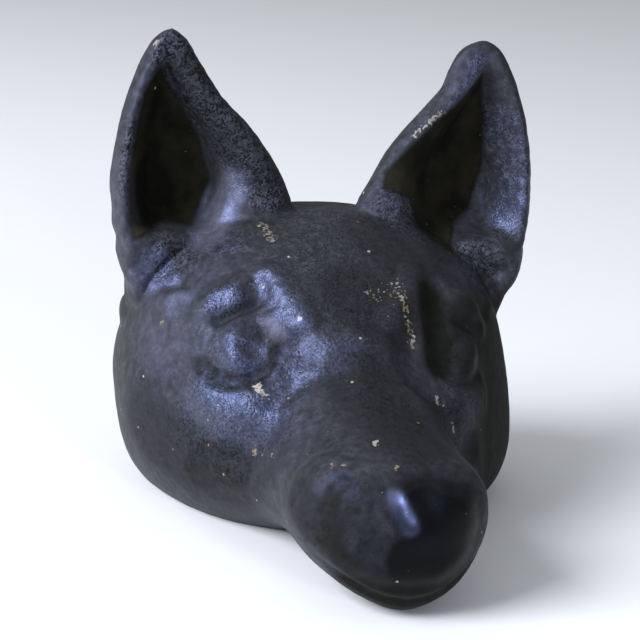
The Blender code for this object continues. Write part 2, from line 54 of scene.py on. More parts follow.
ROUND_SIDES = 48  # sides of the hollow, the boss, the holes and the screw


def smooth_curve(knots, at):
    """Cubic curve through (position, value) knots, flat beyond the ends."""
    xs = np.array([k[0] for k in knots], float)
    ys = np.array([k[1] for k in knots], float)
    at = np.clip(np.asarray(at, float), xs[0], xs[-1])
    steps = np.diff(ys) / np.diff(xs)
    slopes = np.concatenate([[steps[0]], (steps[1:] + steps[:-1]) / 2, [steps[-1]]])
    turning = np.concatenate([[False], steps[1:] * steps[:-1] <= 0, [False]])
    slopes[turning] = 0.0
    i = np.clip(np.searchsorted(xs, at, side="right") - 1, 0, len(xs) - 2)
    width = xs[i + 1] - xs[i]
    t = (at - xs[i]) / width
    return (
        ys[i] * (1 + 2 * t) * (1 - t) ** 2
        + slopes[i] * width * t * (1 - t) ** 2
        + ys[i + 1] * t**2 * (3 - 2 * t)
        + slopes[i + 1] * width * t**2 * (t - 1)
    )


def through(p0, p1, p2, p3, t):
    """Place at share t of the way from p1 to p2, on a smooth curve through all four."""
    return 0.5 * (
        2 * p1
        + (p2 - p0) * t
        + (2 * p0 - 5 * p1 + 4 * p2 - p3) * t**2
        + (3 * p1 - p0 - 3 * p2 + p3) * t**3
    )


def closer_at_ends(steps):
    """Shares from 0 to 1 that crowd together at both ends."""
    return [0.5 - 0.5 * math.cos(math.pi * i / steps) for i in range(steps + 1)]


# Lines of the skull in millimetres, each a list of (y, value)
CROWN_LINE = [
    (-75.5, 15), (-75.2, 20), (-74.5, 25), (-73.2, 30), (-71.4, 35), (-69.2, 38.6), (-66.2, 41), (-62, 42.7),
    (-56, 44), (-44, 46), (-32, 51), (-20, 60.5), (-10, 69.5), (2, 77.5), (16, 83.5), (32, 87.5), (46, 86.5),
    (58, 79), (68, 65), (73, 49), (74.5, 41),
]
THROAT_LINE = [
    (-75.5, 15), (-75.3, 10.5), (-74.4, 7), (-72.2, 3.9), (-69, 1.6), (-64, 0.3), (-60, 0.2), (-50, 1),
    (-40, 2), (-30, 2.4), (-18, 1.8), (-7, -1.6), (0, -4.3), (10, -7.2), (24, -9.6), (35, -12), (44, -15),
    (60, -17),
    (68, -12), (73, 8), (74.5, 30),
]
SIDE_LINE = [
    (-75.5, 1), (-75.1, 7), (-74, 12), (-72.2, 16.8), (-70, 20.5), (-67, 23.4), (-63.5, 25.3), (-56, 26.4),
    (-46, 26.8), (-36, 28.8), (-26, 33), (-16, 39.5), (-7, 45), (2, 50.5), (14, 56.7), (26, 60.4), (36, 61.3),
    (46, 60), (57, 55), (66, 44), (72, 24), (74.5, 1),
]
WAIST_LINE = [
    (-75.5, 15), (-73, 19), (-70, 22.5), (-65, 24.5), (-44, 22), (-20, 23), (-7, 25), (0, 24.5), (10, 25),
    (24, 25), (44, 26), (60, 31), (74.5, 36),
]
UPPER_SQUARENESS = [
    (-75.5, 3.0), (-70, 3.0), (-60, 2.6), (-40, 2.2), (-20, 2.2), (-7, 2.5), (5, 2.7), (15, 2.7), (30, 2.45),
    (45, 2.3), (74.5, 2.2),
]
LOWER_SQUARENESS = [
    (-75.5, 1.85), (-68, 1.72), (-50, 1.75), (-20, 2.05), (-7, 2.6), (2, 2.7), (10, 2.7), (24, 2.75),
    (40, 2.85), (74.5, 2.3),
]


def superellipse(angle, half, up, down, waist, n_up, n_down):
    """Point of a section: an upper and a lower half superellipse that share their width at the waist."""
    c, s = math.cos(angle), math.sin(angle)
    n = n_up if s >= 0 else n_down
    reach = up if s >= 0 else down
    x = half * math.copysign(abs(c) ** (2 / n), c)
    z = waist + reach * math.copysign(abs(s) ** (2 / n), s)
    return x, z


def skull_section(y, count=96):
    """Closed ring of points round the head at one place along it, in metres."""
    y = y / MM
    top, bottom, half, waist, n_up, n_down = [
        float(smooth_curve(line, y))
        for line in (CROWN_LINE, THROAT_LINE, SIDE_LINE, WAIST_LINE, UPPER_SQUARENESS, LOWER_SQUARENESS)
    ]
    ring = []
    for i in range(count):
        x, z = superellipse(2 * math.pi * i / count, half, top - waist, waist - bottom, waist, n_up, n_down)
        ring.append(Vector((x, y, z)) * MM)
    return ring


def loft(name, rings):
    """Skins rings of equal count and closes both ends with a fan."""
    bm = bmesh.new()
    loops = [[bm.verts.new(p) for p in ring] for ring in rings]
    for near, far in zip(loops, loops[1:]):
        for i in range(len(near)):
            j = (i + 1) % len(near)
            bm.faces.new((near[i], near[j], far[j], far[i]))
    for ring in (loops[0], loops[-1]):
        middle = bm.verts.new(sum((v.co for v in ring), Vector()) / len(ring))
        for i in range(len(ring)):
            bm.faces.new((ring[i], ring[(i + 1) % len(ring)], middle))
    bmesh.ops.recalc_face_normals(bm, faces=bm.faces)
    return mesh_object(name, bm)


def mesh_object(name, bm):
    """Links a finished bmesh into the scene as an object."""
    mesh = bpy.data.meshes.new(name)
    bm.to_mesh(mesh)
    bm.free()
    obj = bpy.data.objects.new(name, mesh)
    bpy.context.scene.collection.objects.link(obj)
    return obj


def skull_form():
    """The head without its ears: a loft from the nose to the nape."""
    return loft("skull", [skull_section(NOSE_Y + (NAPE_Y - NOSE_Y) * share) for share in closer_at_ends(110)])


# The ears in millimetres, each line a list of (height, value)
EAR_MEDIAL = [
    (49, 16), (75, 11.5), (87.5, 10), (94.5, 13), (106.5, 20.5), (118.5, 30.5), (127, 36.5), (131, 39.2),
    (133.5, 40.8), (135.5, 42.3), (137, 43.9), (138, 45.6), (138.8, 47.6),
]
EAR_FOLD = [
    (49, 28), (75, 23), (87, 18.5), (96, 18.8), (102.5, 22), (109.5, 27.5), (116.6, 33), (121.6, 37.4),
    (127.3, 41.4), (131, 43.8), (135, 46), (138.8, 47.8),
]
EAR_CREASE_IN = [
    (49, 36), (79, 36), (84.7, 34.7), (92, 32.7), (98, 33.1), (105.4, 35.6), (112.7, 40.1), (122.7, 45.6),
    (127, 47.6), (131, 48), (138.8, 48),
]
EAR_CREASE_OUT = [
    (49, 52), (80, 52), (85, 52.8), (95.6, 53.1), (104.6, 52.4), (111, 51.6), (117, 50.9), (124, 49.8),
    (130, 48.8), (138.8, 48.3),
]
EAR_RIM = [
    (49, 50), (62, 54), (74, 57.5), (82.6, 59.6), (92.3, 60.7), (104, 60.1), (113.7, 58.7), (121.6, 56.2),
    (125.5, 54.7), (128, 53.4), (132, 51.5), (136, 49.8), (138.8, 48.4),
]
EAR_LATERAL = [
    (49, 54), (62, 58.3), (68, 60), (74.6, 61.6), (80, 63), (87, 64.2), (93, 64.9), (98, 64.7), (106, 63.8),
    (114, 62.3), (118.7, 61), (123.5, 59.3), (127.5, 57.9), (131, 56.2), (133.5, 54.9), (135.5, 53.5),
    (137, 52), (138, 50.6), (138.8, 48.6),
]
EAR_FRONT = [(49, 22), (75, 24), (100, 27.5), (137, 34)]
EAR_POCKET = [
    (49, 2), (76, 2), (79.5, 3.5), (83, 10.5), (86.5, 14.5), (92, 16), (98, 15.5), (105, 13.5), (113, 11),
    (122, 8), (127, 5), (131, 1.5), (138.8, 0.5),
]
EAR_BODY = [(49, 12), (80, 15), (100, 12.5), (120, 10), (131, 8), (136, 6), (138.8, 4)]
# How each ear's inner and outer edge depart from the common lines: the two were carved by hand.
# 1 is the dog's left ear and -1 the right
EAR_MEDIAL_OWN = {
    1: [
        (49, 0), (95, 0.4), (104, -0.3), (112, -0.3), (119, 0.2), (124, 0.9), (128, -0.3), (132, -1.2),
        (136, -1.7), (138.8, -1.2),
    ],
    -1: [
        (49, 0), (90, -0.3), (97, -1.0), (106, -0.9), (112, -0.7), (117, 0.2), (121, 0.8), (127, 0.8),
        (132, 0.6), (138.8, 0.5),
    ],
}
EAR_LATERAL_OWN = {
    1: [(49, 0), (62, 0.8), (72, 1.2), (84, 0.6), (92, 0), (112, 0.3), (126, 0.4), (132, 0.2), (138.8, 0)],
    -1: [
        (49, 0), (66, -0.8), (75, -1.1), (81, -0.2), (86, -0.8), (94, -0.9), (105, -1.2), (125, -1.3),
        (138.8, -1.3),
    ],
}


def ear_section(z, side):
    """Ring of one level of the ear: outer skin, rolled rims and the walls of the pocket between them."""
    z = z / MM
    medial, fold, crease_in, crease_out, rim, lateral, front, pocket, body = [
        float(smooth_curve(line, z))
        for line in (
            EAR_MEDIAL, EAR_FOLD, EAR_CREASE_IN, EAR_CREASE_OUT, EAR_RIM, EAR_LATERAL, EAR_FRONT, EAR_POCKET,
            EAR_BODY,
        )
    ]
    own = float(smooth_curve(EAR_MEDIAL_OWN[side], z))
    medial += own
    fold += own * 0.8
    own = float(smooth_curve(EAR_LATERAL_OWN[side], z))
    lateral += own
    rim += own * 0.8
    floor = (crease_in + crease_out) / 2
    wall = crease_in - fold
    corners = [
        (medial, front + body * 0.42),
        ((medial + fold) / 2, front + body * 0.08),
        (fold, front),
        (fold + wall * 0.38, front + pocket * 0.10),
        (fold + wall * 0.76, front + pocket * 0.36),
        (crease_in, front + pocket * 0.84),
        (crease_in * 0.75 + floor * 0.25, front + pocket * 0.99),
        (floor, front + pocket),
        (crease_out * 0.8 + floor * 0.2, front + pocket * 0.97),
        (crease_out, front + pocket * 0.86),
        ((rim + crease_out) / 2, front + pocket * 0.42),
        (rim, front + pocket * 0.03),
        ((rim + lateral) / 2, front + 0.03 * body),
        (lateral, front + body * 0.42),
        (lateral * 0.9 + floor * 0.1, front + body * 0.95),
        (floor, front + pocket * 0.55 + body * 0.95),
        (medial * 0.85 + floor * 0.15, front + body * 0.95),
    ]
    ring = []
    count = len(corners)
    for i in range(count):
        four = [Vector(corners[(i + k - 1) % count]) for k in range(4)]
        for t in (0.0, 0.25, 0.5, 0.75):
            x, y = through(*four, t)
            ring.append(Vector((side * x, y, z)) * MM)
    return ring


def ear_form(side):
    """One ear from its foot inside the skull to its tip."""
    steps = 64
    foot = EAR_MEDIAL[0][0] * MM
    rings = [ear_section(foot + (EAR_TIP_Z - foot) * i / steps, side) for i in range(steps + 1)]
    return loft("ear", rings)


def finished(obj):
    """Turns the object's modifiers into a plain mesh."""
    graph = bpy.context.evaluated_depsgraph_get()
    mesh = bpy.data.meshes.new_from_object(obj.evaluated_get(graph))
    obj.modifiers.clear()
    obj.data = mesh
    return obj


def unite(objs, name, voxel):
    """One closed surface round overlapping solids."""
    bm = bmesh.new()
    for obj in objs:
        bm.from_mesh(obj.data)
        bpy.data.objects.remove(obj)
    one = mesh_object(name, bm)
    remesh = one.modifiers.new("unite", "REMESH")
    remesh.mode = "VOXEL"
    remesh.voxel_size = voxel
    return finished(one)


def vertex_arrays(mesh):
    """Places and normals of a mesh's points."""
    count = len(mesh.vertices)
    points = np.empty(count * 3)
    mesh.vertices.foreach_get("co", points)
    normals = np.empty(count * 3)
    mesh.vertex_normals.foreach_get("vector", normals)
    return points.reshape(-1, 3), normals.reshape(-1, 3)


def move_points(mesh, points):
    """Puts every point of a mesh at its new place."""
    mesh.vertices.foreach_set("co", points.ravel())
    mesh.update()


def ramp(value, low, high):
    """Rises smoothly from 0 at low to 1 at high."""
    t = np.clip((value - low) / (high - low), 0, 1)
    return t * t * (3 - 2 * t)


def relax(obj, rounds, factor=0.5):
    """Evens the surface out: points go towards their neighbours, then a little further back."""
    mesh = obj.data
    points, _ = vertex_arrays(mesh)
    edges = np.empty(len(mesh.edges) * 2, int)
    mesh.edges.foreach_get("vertices", edges)
    edges = edges.reshape(-1, 2)
    degree = np.bincount(edges.ravel(), minlength=len(points))[:, None]
    for i in range(rounds):
        total = np.zeros_like(points)
        np.add.at(total, edges[:, 0], points[edges[:, 1]])
        np.add.at(total, edges[:, 1], points[edges[:, 0]])
        points += (factor if i % 2 == 0 else -factor * 1.04) * (total / degree - points)
    move_points(mesh, points)


def path_distance(points, path):
    """Distance of each point to a polyline."""
    best = np.full(len(points), np.inf)
    if len(path) == 1:
        return np.linalg.norm(points - path[0], axis=1)
    for a, b in zip(path, path[1:]):
        d = b - a
        t = np.clip((points - a) @ d / max(d @ d, 1e-12), 0, 1)
        best = np.minimum(best, np.linalg.norm(points - (a + t[:, None] * d), axis=1))
    return best


def resampled(path, per_piece=5):
    """A smooth curve through the places of a stroke."""
    path = [np.array(p, float) for p in path]
    if len(path) < 3:
        return path
    ends = [2 * path[0] - path[1]] + path + [2 * path[-1] - path[-2]]
    out = []
    for i in range(len(ends) - 3):
        out += [through(*ends[i:i + 4], k / per_piece) for k in range(per_piece)]
    return out + [path[-1]]


# Modelling of the pattern, on the dog's left side and mirrored: (places in mm, reach, height)
STROKES = [
    # valley between the root of the muzzle and the eye, and on down to the cheek
    ([(16, -20, 57), (21.5, -26, 49), (27, -30, 40), (34, -26, 30)], 9, -3.2),
    # channel between the forehead and the eye
    ([(26, -3, 71), (25, -8, 65), (25, -13, 58), (26, -17, 51)], 6.5, -2),
    # bulge of the eye
    ([(33, -12, 57)], 10, 1.6),
    # brow, pit at its outer end
    ([(43, -1, 61), (39.5, -0.4, 65.5), (36, -0.4, 69), (31.5, -1, 72)], 7, 1.7),
    ([(46, 8, 63)], 5, -1.4),
    # edge of the raised middle of the forehead
    ([(21, 1, 74.7), (17, -8, 70.5), (13, -15, 66)], 6, 1.6),
    # the forehead ends in a steep step, with a hollow at its foot round the root of the muzzle
    ([(19.5, -20, 51), (14.5, -18.5, 55.5), (8.5, -19.5, 59), (0, -20, 61)], 5.5, 1.2),
    ([(24, -26.5, 45), (16, -27, 50.5), (8, -28, 55), (0, -28, 56.5)], 4.5, -1.1),
    # fold below the eye, cheekbone
    ([(38.4, -11.1, 47), (33, -16, 46.5), (27.4, -17.9, 47.9)], 3.2, -1.1),
    ([(25, -27, 44), (32, -21, 41), (41, -12, 42)], 10, 1.8),
    # jaw muscle and the groove in front of it
    ([(56, 12, 32)], 22, 1),
    ([(45, -4, 46), (42, -11, 35), (41, -12, 24)], 8, -0.6),
    # knob at the foot of the ear pocket, the rim that curls in below it, the groove between
    ([(47, 25, 76), (54, 26, 76)], 8, 2.4),
    ([(61, 31, 74), (57, 22, 67), (52, 14, 64.5), (46, 9, 64.5)], 5.5, 1.6),
    ([(56, 24, 71), (51, 17, 68), (45, 14, 67.5)], 3.2, -1),
    # ridge down the front of the ear's inner fold
    ([(25, 26, 98), (23.5, 25, 87), (27, 16, 80)], 7, 1),
    # mouth: the lips closed over the chin, swept back along the muzzle
    (
        [(0, -74, 5.6), (8, -73.5, 6.6), (14, -71, 10.6), (19, -67, 16), (22.5, -60, 20), (24, -50, 20.5)],
        2.8, -1.2,
    ),
    ([(24, -50, 20.5), (26, -40, 21), (29, -32, 21)], 4, -0.5),
    ([(9, -72, 14), (16, -69, 17), (21, -60, 24), (23, -50, 26)], 6.5, 0.7),
    # corner of the cheek behind the notch under the ear
    ([(58, 38, 57)], 9, 3),
    # soft ridge of the muzzle
    ([(0, -22, 59), (0, -45, 47), (0, -62, 43)], 8, 0.8),
]
# The keel of the nose runs a little askew, so it isn't mirrored
KEEL = [([(-3, -72, 37), (0, -74.2, 31), (2.6, -75.7, 25.5)], 7, 0.7)]
# Where the two eyes differ, by the side of the head: 1 is the dog's left
OWN_STROKES = {
    1: [
        # eyeball, brow, crease between them, channel beside the forehead
        ([(37.5, -10.5, 55.5), (36, -13.5, 52)], 7, 2.4),
        ([(39, -0.5, 66)], 7.5, 1.5),
        ([(31, -5, 62.5), (36, -4.8, 61), (41, -2, 60)], 3.2, -1.4),
        ([(27.5, -2, 69), (27, -9, 61), (26.5, -15, 52)], 7, -2),
    ],
    -1: [
        # upper lid and eyeball, the slit between them, crease under the brow
        ([(32.6, -12.5, 59.6)], 7, 1.9),
        ([(31.9, -16.2, 53.4)], 6.6, 2.4),
        ([(36, -10, 57), (33, -13, 56.8), (29, -14, 56.7)], 2.2, -0.9),
        ([(35.5, -3.6, 61.6), (34, -4.2, 62.6), (30, -5.1, 65.4), (25.2, -4.2, 67.3)], 2.9, -2.2),
        # folds at the inner corner of the eye, and the lump above them
        ([(24.3, -11, 61), (23.4, -13.5, 58.8)], 2.8, -1),
        ([(20.8, -16.3, 57.4), (22.4, -17.5, 54), (24.6, -18.2, 51.2), (27.5, -18.5, 49.4)], 3.6, -1.6),
        ([(22.1, -9.5, 63.3)], 4.5, 0.8),
        # cheek in front of the ear's outer rim
        ([(49.3, 25, 72.5), (51.5, 26, 69), (51, 24, 65)], 6.5, 2.3),
    ],
}


def stroke_rise(points, strokes):
    """How far a set of strokes raises each point, in metres."""
    rise = np.zeros(len(points))
    for path, reach, height in strokes:
        t = np.clip(path_distance(points, resampled(path)) / reach, 0, 1)
        rise += (1 - t**2) ** 2 * height
    return rise * MM


def sculpt(obj):
    """Raises or sinks the surface along its normals round short strokes."""
    points, normals = vertex_arrays(obj.data)
    folded = points / MM
    rise = stroke_rise(folded, KEEL)
    side = np.sign(folded[:, 0])
    folded[:, 0] = abs(folded[:, 0])
    rise += stroke_rise(folded, STROKES)
    for which, strokes in OWN_STROKES.items():
        rise += np.where(side == which, stroke_rise(folded, strokes), 0)
    points += normals * rise[:, None]
    move_points(obj.data, points)


# The nose pad on the end of the muzzle, in mm: half its width, the height of its widest line, how far it
# goes up and down from there, how far it stands out, and how deep the line round it is
PAD_HALF, PAD_MIDDLE, PAD_UP, PAD_DOWN, PAD_RISE, PAD_LINE = 19.5, 27.0, 11.5, 15.5, 1.0, 0.25


def pad_size(points):
    """1 on the outline of the nose pad, less inside it."""
    x, _, z = (points / MM).T
    up = z > PAD_MIDDLE
    tall = np.where(up, PAD_UP, PAD_DOWN)
    power = np.where(up, 3.6, 2.3)
    return (abs(x / PAD_HALF) ** power + abs((z - PAD_MIDDLE) / tall) ** power) ** (1 / power)


def nose_pad(obj):
    """Raises the nose pad, with a shallow line round it."""
    points, _ = vertex_arrays(obj.data)
    size = pad_size(points)
    # in mm, and only on the end of the muzzle
    rise = PAD_RISE * (1 - ramp(size, 0.84, 1.08)) - PAD_LINE * (1 - ramp(abs(size - 1.08), 0.0, 0.12))
    points[:, 1] -= rise * MM * (1 - ramp(points[:, 1] / MM, -66, -62))
    move_points(obj.data, points)


def lean(obj):
    """The hand-carved pattern is a little off true: its muzzle and jaw turn to the dog's left."""
    points, _ = vertex_arrays(obj.data)
    _, y, z = (points / MM).T
    # in mm: the muzzle with the chin, the jaw with the lower cheeks
    muzzle = 2.2 * (1 - ramp(y, -75, -25)) + 2.4 * (1 - ramp(y, -66, -50)) * (1 - ramp(z, 4, 22))
    jaw = (3.9 * (1 - ramp(z, 0, 42)) - 0.8 * ramp(z, 20, 50) * (1 - ramp(z, 60, 80))) * ramp(y, -75, -20)
    points[:, 0] += (muzzle + jaw) * MM
    move_points(obj.data, points)


def centre(obj):
    """Moves the head so that its outline on the floor has the origin in the middle."""
    points, _ = vertex_arrays(obj.data)
    for axis in (0, 1):
        middle = (points[:, axis].min() + points[:, axis].max()) / 2
        points[:, axis] -= middle
    move_points(obj.data, points)


# Finishes by place: (places in mm, reach, amount), with negative x on the dog's right
# Where the sand left the skin of the iron coarse
COARSE = [
    # wall of the right ear, its rim, its foot
    ([(-46, 34, 131), (-39.2, 34, 115.7), (-31.7, 32, 107.4), (-25.8, 29.6, 100.5)], 12, 0.85),
    ([(-25.8, 29.6, 100.5), (-19, 27, 93)], 9, 0.85),
    ([(-60.3, 29, 82), (-61, 29, 100), (-58.3, 29, 113)], 3, 0.9),
    ([(-47, 22, 74)], 11, 0.75),
    ([(-36.5, 24.8, 78.8), (-30, 18, 80)], 9, 0.5),
    # brow, edge of the forehead, eye, cheekbone and cheek
    ([(-37, -0.7, 66.7), (-34, -0.9, 68.5)], 6.5, 0.7),
    ([(-23.3, -0.6, 73.1), (-20, -8.4, 68.5), (-16.8, -13.9, 63.6)], 8, 0.4),
    ([(-20.7, -23.5, 48.6), (-14.7, -20.1, 54.2), (-6.5, -22.8, 58.1)], 9, 0.45),
    ([(-43, -12, 43), (-36.7, -19, 40.8), (-30.6, -24.4, 39.5), (-25.2, -28.4, 37.9)], 12, 0.65),
    ([(-41, -11, 31), (-33, -20, 29)], 15, 0.6),
    ([(-31, -12, 53)], 18, 0.35),
    ([(-33.5, -14, 57), (-32.5, -17, 52)], 6, 0.6),
    # crown and bridge
    ([(0, 20, 86), (-10, 6, 80), (0, -12, 68)], 20, 0.35),
    ([(0, -26, 54), (6, -40, 48)], 14, 0.25),
    # foot, rim and wall of the left ear, left cheek
    ([(20, 26, 90), (28, 24, 84)], 11, 0.6),
    ([(14.5, 24, 103), (29, 27, 115), (38, 29, 122), (45, 32, 133)], 5, 0.6),
    ([(58, 30, 86), (59, 31, 100), (54, 36, 114)], 11, 0.5),
    ([(46, 22, 73)], 13, 0.7),
    ([(30, -22, 40), (38, -12, 44)], 14, 0.4),
]
# Painted sheen: stronger bluish reflectance on the lit side of the face and the lit walls of the ears, where
# the window lamp's shine falls
PAINTED_SHEEN = [
    ([(-23.3, -0.6, 73.1), (-20, -8.4, 68.5), (-16.8, -13.9, 63.6)], 6.6, 0.85),
    ([(-37, -0.7, 66.7), (-34, -0.9, 68.5)], 5.5, 1),
    ([(-34.4, -12.5, 59), (-31.5, -16, 55), (-33.5, -16, 51)], 9.5, 1.3),
    ([(-20.7, -23.5, 48.6), (-14.7, -20.1, 54.2), (-6.5, -22.8, 58.1)], 11, 0.6),
    ([(-43, -12, 42), (-36.7, -19, 39.8), (-30.6, -24.4, 38.5), (-25.2, -28.4, 37)], 12.5, 1.05),
    ([(-41, -12, 36), (-36.5, -19.5, 35), (-31, -24, 36)], 8, 0.75),
    ([(-31, -12, 55)], 22, 0.35),
    ([(-52, 25.6, 71), (-53.5, 24.5, 67.5), (-48, 18.5, 66)], 7.5, 0.9),
    ([(-36, 25, 79.5), (-32.9, 35, 87), (-28.5, 33, 94)], 10, 0.75),
    ([(-30, 8, 78), (-22, -4, 74)], 20, 0.3),
    ([(-20, -45, 38)], 18, 0.2),
    ([(-12.8, -69.6, 35.7), (-14.4, -66.9, 37.4)], 4, 0.7),
    ([(-50, 10, 56)], 18, 0.3),
    ([(58.3, 31.2, 100.7), (54.1, 36.2, 112)], 12, 0.35),
    ([(57.5, 31.4, 94), (56.5, 31.6, 87)], 9, 0.9),
    ([(14.5, 24, 103), (29, 27, 115), (38, 29, 122), (45, 32, 133)], 5, 0.8),
]
# Outlines of the pockets of the ears, painted dark as shade, seen from the front: (x, z) in mm, by the side
# of the head
SHADED_POCKET_OUTLINES = {
    1: [
        (47, 129.5), (40, 121.5), (30, 113), (22, 105.5), (17, 99.5), (16, 94.5), (25, 91.5),
        (27.5, 82.5), (37.5, 76), (41.5, 82.5), (48, 86.5), (51.5, 99), (50.5, 114),
    ],
    -1: [
        (-51.5, 128), (-56, 120), (-59.5, 98), (-60, 88), (-59, 78),
        (-49, 82), (-39.5, 81), (-33.5, 93.5), (-38, 107), (-46, 120.5),
    ],
}
POCKET_EDGE = 1.4  # width of their soft edge
# Painted shade with some oily dirt: hollows, creases and the sides turned from the light, darkened where they
# lie in shadow
PAINTED_SHADE_AND_DIRT = [
    # outer edge of the right ear's wall
    ([(-44, 36, 128), (-37, 36, 116), (-28, 34, 105), (-20.5, 31, 96)], 8, 0.45),
    # creases of the eyes, painted shade
    ([(-22.8, -14, 58.5), (-24, -17, 55), (-26.6, -17.6, 50.3), (-30, -18.6, 48)], 3.6, 0.65),
    ([(-25.5, -10.2, 60.3)], 2.8, 0.45),
    ([(-35.2, -3, 62.3), (-31.2, -4, 65.2), (-26.2, -2.8, 67)], 3, 0.5),
    ([(24, -2, 69), (24.5, -9, 61), (24, -15, 53)], 8, 0.88),
    ([(-42, -7, 49.5), (-39.3, -10.3, 47.6), (-33.7, -15.3, 47.3), (-28.8, -18.9, 48.5)], 4.6, 0.65),
    # lower right cheek and muzzle, painted shade
    ([(-25, -34, 34), (-30, -26, 24)], 12, 0.3),
    ([(-54, 10, 26), (-45, -4, 22), (-36, -18, 20)], 17, 0.38),
    ([(-24, -60, 30), (-19, -69, 26)], 9, 0.5),
    ([(-41, -8, 19), (-38, -15, 24), (-33.6, -22, 24)], 11, 0.6),
    ([(0, -30, 52), (4, -44, 47), (6, -56, 43)], 16, 0.5),
    # the dog's left, turned away from the light, painted darker all over as shade
    ([(52, 6, 52), (50, -2, 38), (46, -6, 24), (58, 18, 22), (60, 26, 45)], 26, 0.9),
    ([(38, -6, 63), (37, -12, 54)], 14, 0.75),
    ([(28, 18, 84), (20, 4, 79), (12, 16, 85)], 16, 0.4),
    ([(24, -30, 36), (24, -45, 30), (20, -62, 24)], 17, 0.5),
    ([(-8, -69, 6), (2, -71, 5), (8, -71, 6), (16, -66, 10)], 14, 0.85),
    # forehead, foot of the nose pad
    ([(0, -6, 71), (8, -12, 66)], 16, 0.5),
    ([(-15, -68, 37), (-18.5, -69.5, 30), (-17, -71, 22), (-12, -73, 15)], 4.2, 0.7),
]
# Dust that has settled
DUSTED = [
    ([(-30, 32.5, 93), (-33.5, 33, 86), (-36, 25, 79.5)], 8, 0.5),
    ([(-23.5, -11, 63.5), (-21.5, -13, 61)], 4, 0.5),
    ([(-50, 10, 56)], 18, 0.12),
    ([(-62, 30, 98), (-61, 30, 82), (-60, 28, 66)], 7, 0.2),
]
# Painted near-black shade with smooth, glossy varnish, most on the side of the nose turned from the light,
# and on the dog's left eye
GLOSS_AND_PAINTED_SHADE = [
    ([(6, -74, 30), (14, -73, 26), (17, -72, 20), (4, -75, 18)], 13, 1),
    ([(6, -74, 30), (14, -73, 26), (17, -72, 20), (4, -75, 18)], 18, 0.45),
    ([(-8, -73, 30), (-10, -73, 22)], 13, 0.45),
    ([(-4, -74, 16), (8, -74, 12)], 16, 0.6),
    ([(6, -73, 33), (14, -71.5, 31)], 12, 0.8),
    ([(40, 0, 64), (42, 3, 61)], 7, 0.3),
    ([(35, -12, 51), (37.5, -9, 49)], 6.5, 0.3),
]
# The keel of the nose, glossy, with bright reflectance painted along it where the right-hand lamp's highlight
# falls: a painted highlight
POLISH_AND_PAINTED_HIGHLIGHT = [
    ([(-1.8, -72.8, 35), (0.4, -74.5, 31), (2.2, -75.5, 27.4)], 3.4, 1),
]
# Where the varnish has flaked off down to primer and rust: 1 is bare, 0.6 a few specks
FLAKED = [
    ([(-16.2, -13.4, 65.5)], 1.4, 1.2),
    ([(12.6, -3.3, 72.7), (14, -7.8, 69.4)], 4.2, 0.64),
    ([(14, -7.8, 69.4), (15.7, -13.5, 65.1), (16.5, -14.8, 58.2)], 2.2, 0.82),
    ([(6.8, -6.9, 70.6)], 4.4, 0.66),
    ([(-40.5, 2.6, 65.8)], 1.2, 1),
    ([(-50.7, 11, 57.5)], 1.6, 0.9),
    ([(-59.7, 27.2, 25.8)], 1.4, 1),
    ([(-28.8, -25, 30.3)], 2.2, 0.95),
    ([(-26.2, -36.6, 33.6)], 1.4, 0.9),
    ([(-15.8, -61.8, 39.9)], 1.4, 1),
    ([(-13.1, -63.6, 40.3)], 1.2, 0.9),
    ([(-3.6, -57.3, 43.9)], 2.4, 0.88),
    ([(-0.6, -66.3, 40.5)], 1.5, 0.9),
    # the largest, below the right eye
    ([(-28.4, -20.2, 47.6), (-26.8, -22, 45.4)], 2.4, 1.1),
    ([(-21.2, 22, 84.2), (-19.4, 14.6, 81.4)], 2.6, 0.85),
    ([(21.7, -23.9, 46.2), (28.2, -24.4, 36.1)], 1.6, 0.8),
    ([(-52.4, 35.6, 134.2)], 2, 0.9),
    # scuffed inner rim of the left ear
    ([(25.6, 31, 110.2), (29.9, 31.3, 114.4), (34, 32, 118)], 1.5, 0.8),
]
FINISHES = {
    "coarse": COARSE,
    "painted_sheen": PAINTED_SHEEN,
    "shade_and_dirt": PAINTED_SHADE_AND_DIRT,
    "dusted": DUSTED,
    "shade_and_gloss": GLOSS_AND_PAINTED_SHADE,
    "flaked": FLAKED,
    "polish_and_highlight": POLISH_AND_PAINTED_HIGHLIGHT,
}


def zone(points, places):
    """Amount of a finish at each point: full to half the reach of a path, then fading to none."""
    where = points / MM
    amount = np.zeros(len(points))
    for path, reach, most in places:
        t = np.clip(path_distance(where, resampled(path)) / reach, 0, 1)
        amount = np.maximum(amount, np.minimum(1.9 * (1 - t**2) ** 2, 1) * most)
    return amount


def in_pockets(points, normals):
    """1 inside the outline of an ear's pocket, with a soft edge, but not on faces turned to the rear."""
    flat = points / MM * (1, 0, 1)
    amount = np.zeros(len(points))
    for outline in SHADED_POCKET_OUTLINES.values():
        corners = np.array([(x, 0, z) for x, z in outline])
        inside = np.zeros(len(points), bool)
        for (x0, _, z0), (x1, _, z1) in zip(corners, np.roll(corners, -1, axis=0)):
            spans = (z0 > flat[:, 2]) != (z1 > flat[:, 2])
            if z0 != z1:
                inside ^= spans & (flat[:, 0] < x0 + (flat[:, 2] - z0) / (z1 - z0) * (x1 - x0))
        edge = path_distance(flat, list(corners) + [corners[0]])
        amount = np.maximum(amount, np.clip(0.5 + np.where(inside, edge, -edge) / POCKET_EDGE, 0, 1))
    return amount * (1 - ramp(normals[:, 1], 0.2, 0.5))


# Lumps that the sand mould leaves in the skin: how many in a metre, and where the small ones are read
BROAD_LUMPS, SMALL_LUMPS = 150, 400
SHIFTED = Vector((3.1, 7.7, 1.9))


